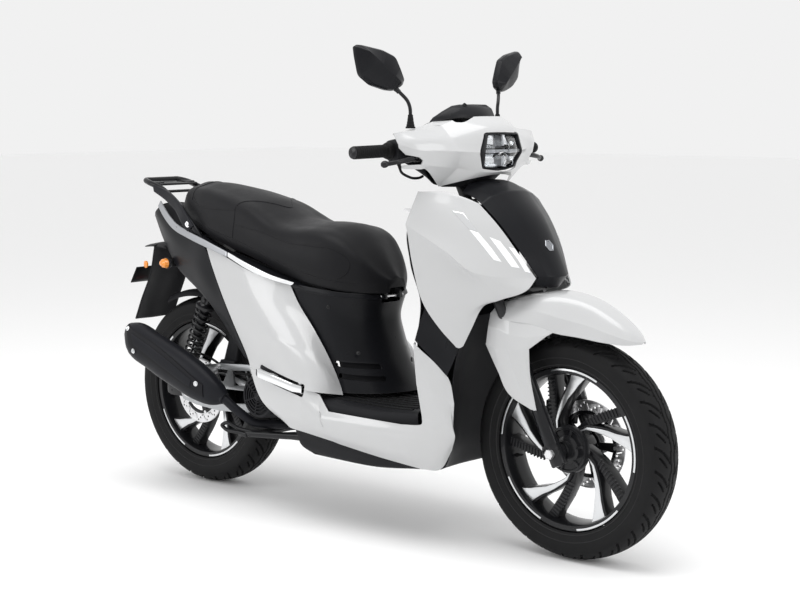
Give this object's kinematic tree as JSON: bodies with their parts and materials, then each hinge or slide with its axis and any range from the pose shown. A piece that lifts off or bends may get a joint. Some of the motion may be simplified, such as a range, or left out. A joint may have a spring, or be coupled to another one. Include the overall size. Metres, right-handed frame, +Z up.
{
  "type": "moped scooter",
  "caption": "Step-through scooter with large spoked wheels, under-seat storage, rear rack, swinging engine and rear shock absorbers.",
  "frame": {"origin": "on the ground, midway along the overall length, in the centre plane", "axes": "+X towards the front wheel, +Y to the rider's left, +Z up"},
  "size_m": [1.893, 0.7508, 1.281],
  "materials": {
    "white_panel": "gloss painted body panels",
    "black_panel": "satin black body panels",
    "black_moulding": "grained black mouldings",
    "seat_vinyl": "grained black seat cover over foam",
    "tyre_rubber": "tread rubber",
    "grip_rubber": "moulded rubber",
    "black_metal": "satin black paint",
    "cast_alloy": "cast alloy",
    "steel": "bright steel",
    "bright_trim": "bright trim",
    "lamp_lens": "clear polycarbonate lens",
    "tail_lens": "red lens",
    "amber_lens": "amber lens",
    "mirror_glass": "mirror glass"
  },
  "bodies": {
    "chassis": {"main_frame": "black_metal", "apron_right": "white_panel", "apron_left": "white_panel", "nose_panel": "black_panel", "leg_shield": "black_moulding", "belly_pan": "black_moulding", "floor_board": "black_moulding", "side_skirt_right": "white_panel", "side_skirt_left": "white_panel", "seat_pedestal": "black_panel", "tail_cover": "black_panel", "tail_light": "tail_lens", "helmet_box": "black_moulding", "grab_rail": "black_metal", "rear_mudguard": "black_moulding", "fuel_tank": "black_moulding"},
    "ignition": {"ignition_key": "steel"},
    "seat": {"seat_cushion": "seat_vinyl", "seat_base": "black_moulding"},
    "steering": {"steering_stem": "steel", "handlebar": "steel", "cowl_front": "white_panel", "cowl_rear": "black_moulding", "headlight": "lamp_lens", "switch_housing_right": "black_moulding", "switch_housing_left": "black_moulding", "grip_left": "grip_rubber", "throttle_cable": "grip_rubber", "front_fender": "white_panel"},
    "throttle": {"throttle_grip": "grip_rubber"},
    "right_lever": {"brake_lever_right": "black_metal"},
    "left_lever": {"brake_lever_left": "black_metal"},
    "mirror_stem_right": {"mirror_arm_right": "black_metal"},
    "mirror_stem_left": {"mirror_arm_left": "black_metal"},
    "mirror_right": {"mirror_head_right": "black_panel"},
    "mirror_left": {"mirror_head_left": "black_panel"},
    "starter": {"starter_button": "black_moulding"},
    "horn": {"horn_button": "black_moulding"},
    "indicator": {"indicator_switch": "black_moulding"},
    "fork_lower": {"fork_leg_right": "black_metal", "fork_leg_left": "black_metal", "front_caliper": "black_metal", "front_axle": "steel"},
    "front_wheel": {"front_rim": "black_metal", "front_tyre": "tyre_rubber", "front_disc": "steel"},
    "power_unit": {"engine_case": "cast_alloy", "cvt_case": "black_metal", "muffler": "black_metal", "rear_hugger": "black_moulding"},
    "rear_wheel": {"rear_rim": "black_metal", "rear_tyre": "tyre_rubber", "rear_disc": "steel"},
    "damper_upper_right": {"shock_upper_right": "black_metal"},
    "damper_upper_left": {"shock_upper_left": "black_metal"},
    "damper_lower_right": {"shock_lower_right": "black_metal"},
    "damper_lower_left": {"shock_lower_left": "black_metal"},
    "stand": {"centre_stand": "black_metal"},
    "peg_right": {"footpeg_right": "bright_trim"},
    "peg_left": {"footpeg_left": "bright_trim"}
  },
  "joints": [
    {"name": "steering", "type": "hinge", "parent": "chassis", "child": "steering", "pos_m": [0.35663, 0, 0.8], "axis": [-0.4462, 0, 0.8949], "range_deg": [-40, 40]},
    {"name": "fork_travel", "type": "slide", "parent": "steering", "child": "fork_lower", "axis": [-0.4462, 0, 0.8949], "range_m": [0, 0.07], "stiffness_N_per_m": 9000, "springref_m": -0.06},
    {"name": "front_wheel_spin", "type": "hinge", "parent": "fork_lower", "child": "front_wheel", "pos_m": [0.6655, 0, 0.281], "axis": [0, 1, 0], "continuous": true},
    {"name": "rear_swing", "type": "hinge", "parent": "chassis", "child": "power_unit", "pos_m": [-0.1945, 0, 0.252], "axis": [0, 1, 0], "range_deg": [0, 8.5], "stiffness_Nm_per_rad": 3000, "springref_deg": -7.45},
    {"name": "rear_wheel_spin", "type": "hinge", "parent": "power_unit", "child": "rear_wheel", "pos_m": [-0.6645, 0, 0.281], "axis": [0, 1, 0], "continuous": true},
    {"name": "damper_pivot_right", "type": "hinge", "parent": "chassis", "child": "damper_upper_right", "pos_m": [-0.5655, -0.113, 0.566], "axis": [0, 1, 0], "range_deg": [0, 3.9]},
    {"name": "damper_travel_right", "type": "slide", "parent": "damper_upper_right", "child": "damper_lower_right", "axis": [0.3939, 0, 0.9191], "range_m": [0, 0.0705]},
    {"name": "damper_pivot_left", "type": "hinge", "parent": "chassis", "child": "damper_upper_left", "pos_m": [-0.5655, 0.113, 0.566], "axis": [0, 1, 0], "range_deg": [0, 3.9]},
    {"name": "damper_travel_left", "type": "slide", "parent": "damper_upper_left", "child": "damper_lower_left", "axis": [0.3939, 0, 0.9191], "range_m": [0, 0.0705]},
    {"name": "seat_lift", "type": "hinge", "parent": "chassis", "child": "seat", "pos_m": [0.0485, 0, 0.617], "axis": [0, 1, 0], "range_deg": [0, 70]},
    {"name": "ignition_turn", "type": "hinge", "parent": "chassis", "child": "ignition", "pos_m": [0.2075, -0.07, 0.852], "axis": [-0.9762, 0, 0.217], "range_deg": [0, 90]},
    {"name": "throttle_twist", "type": "hinge", "parent": "steering", "child": "throttle", "pos_m": [0.26152, -0.3, 1.01796], "axis": [-0.122, -0.9922, -0.0258], "range_deg": [0, 75], "stiffness_Nm_per_rad": 0.4, "springref_deg": -20.05},
    {"name": "right_lever_squeeze", "type": "hinge", "parent": "steering", "child": "right_lever", "pos_m": [0.3195, -0.214, 1.004], "axis": [0, 0, -1], "range_deg": [0, 12], "stiffness_Nm_per_rad": 3, "springref_deg": -5.73},
    {"name": "left_lever_squeeze", "type": "hinge", "parent": "steering", "child": "left_lever", "pos_m": [0.3195, 0.214, 1.004], "axis": [0, 0, 1], "range_deg": [0, 12], "stiffness_Nm_per_rad": 3, "springref_deg": -5.73},
    {"name": "mirror_swivel_right", "type": "hinge", "parent": "steering", "child": "mirror_stem_right", "pos_m": [0.2735, -0.18, 1.1], "axis": [0, 0, 1], "range_deg": [-40, 40]},
    {"name": "mirror_tilt_right", "type": "hinge", "parent": "mirror_stem_right", "child": "mirror_right", "pos_m": [0.2495, -0.214, 1.177], "axis": [0, 1, 0], "range_deg": [-12, 12]},
    {"name": "mirror_swivel_left", "type": "hinge", "parent": "steering", "child": "mirror_stem_left", "pos_m": [0.2735, 0.18, 1.1], "axis": [0, 0, 1], "range_deg": [-40, 40]},
    {"name": "mirror_tilt_left", "type": "hinge", "parent": "mirror_stem_left", "child": "mirror_left", "pos_m": [0.2495, 0.214, 1.177], "axis": [0, 1, 0], "range_deg": [-12, 12]},
    {"name": "starter_press", "type": "slide", "parent": "steering", "child": "starter", "axis": [1, 0, 0], "range_m": [0, 0.0025], "stiffness_N_per_m": 300, "springref_m": -0.001},
    {"name": "horn_press", "type": "slide", "parent": "steering", "child": "horn", "axis": [1, 0, 0], "range_m": [0, 0.0025], "stiffness_N_per_m": 300, "springref_m": -0.001},
    {"name": "indicator_slide", "type": "slide", "parent": "steering", "child": "indicator", "axis": [0, 1, 0], "range_m": [-0.004, 0.004]},
    {"name": "stand_swing", "type": "hinge", "parent": "chassis", "child": "stand", "pos_m": [-0.1645, 0, 0.216], "axis": [0, -1, 0], "range_deg": [0, 100], "stiffness_Nm_per_rad": 6, "springref_deg": -114.59},
    {"name": "peg_fold_right", "type": "hinge", "parent": "chassis", "child": "peg_right", "pos_m": [-0.0925, -0.206, 0.372], "axis": [0.1629, 0, 0.9866], "range_deg": [0, 90]},
    {"name": "peg_fold_left", "type": "hinge", "parent": "chassis", "child": "peg_left", "pos_m": [-0.0925, 0.206, 0.372], "axis": [-0.1629, 0, -0.9866], "range_deg": [0, 90]}
  ],
  "couplings": [
    {"joint": "damper_pivot_right", "follows": "rear_swing", "ratio": 0.45},
    {"joint": "damper_travel_right", "follows": "rear_swing", "m_per_rad": 0.469},
    {"joint": "damper_pivot_left", "follows": "rear_swing", "ratio": 0.45},
    {"joint": "damper_travel_left", "follows": "rear_swing", "m_per_rad": 0.469}
  ]
}
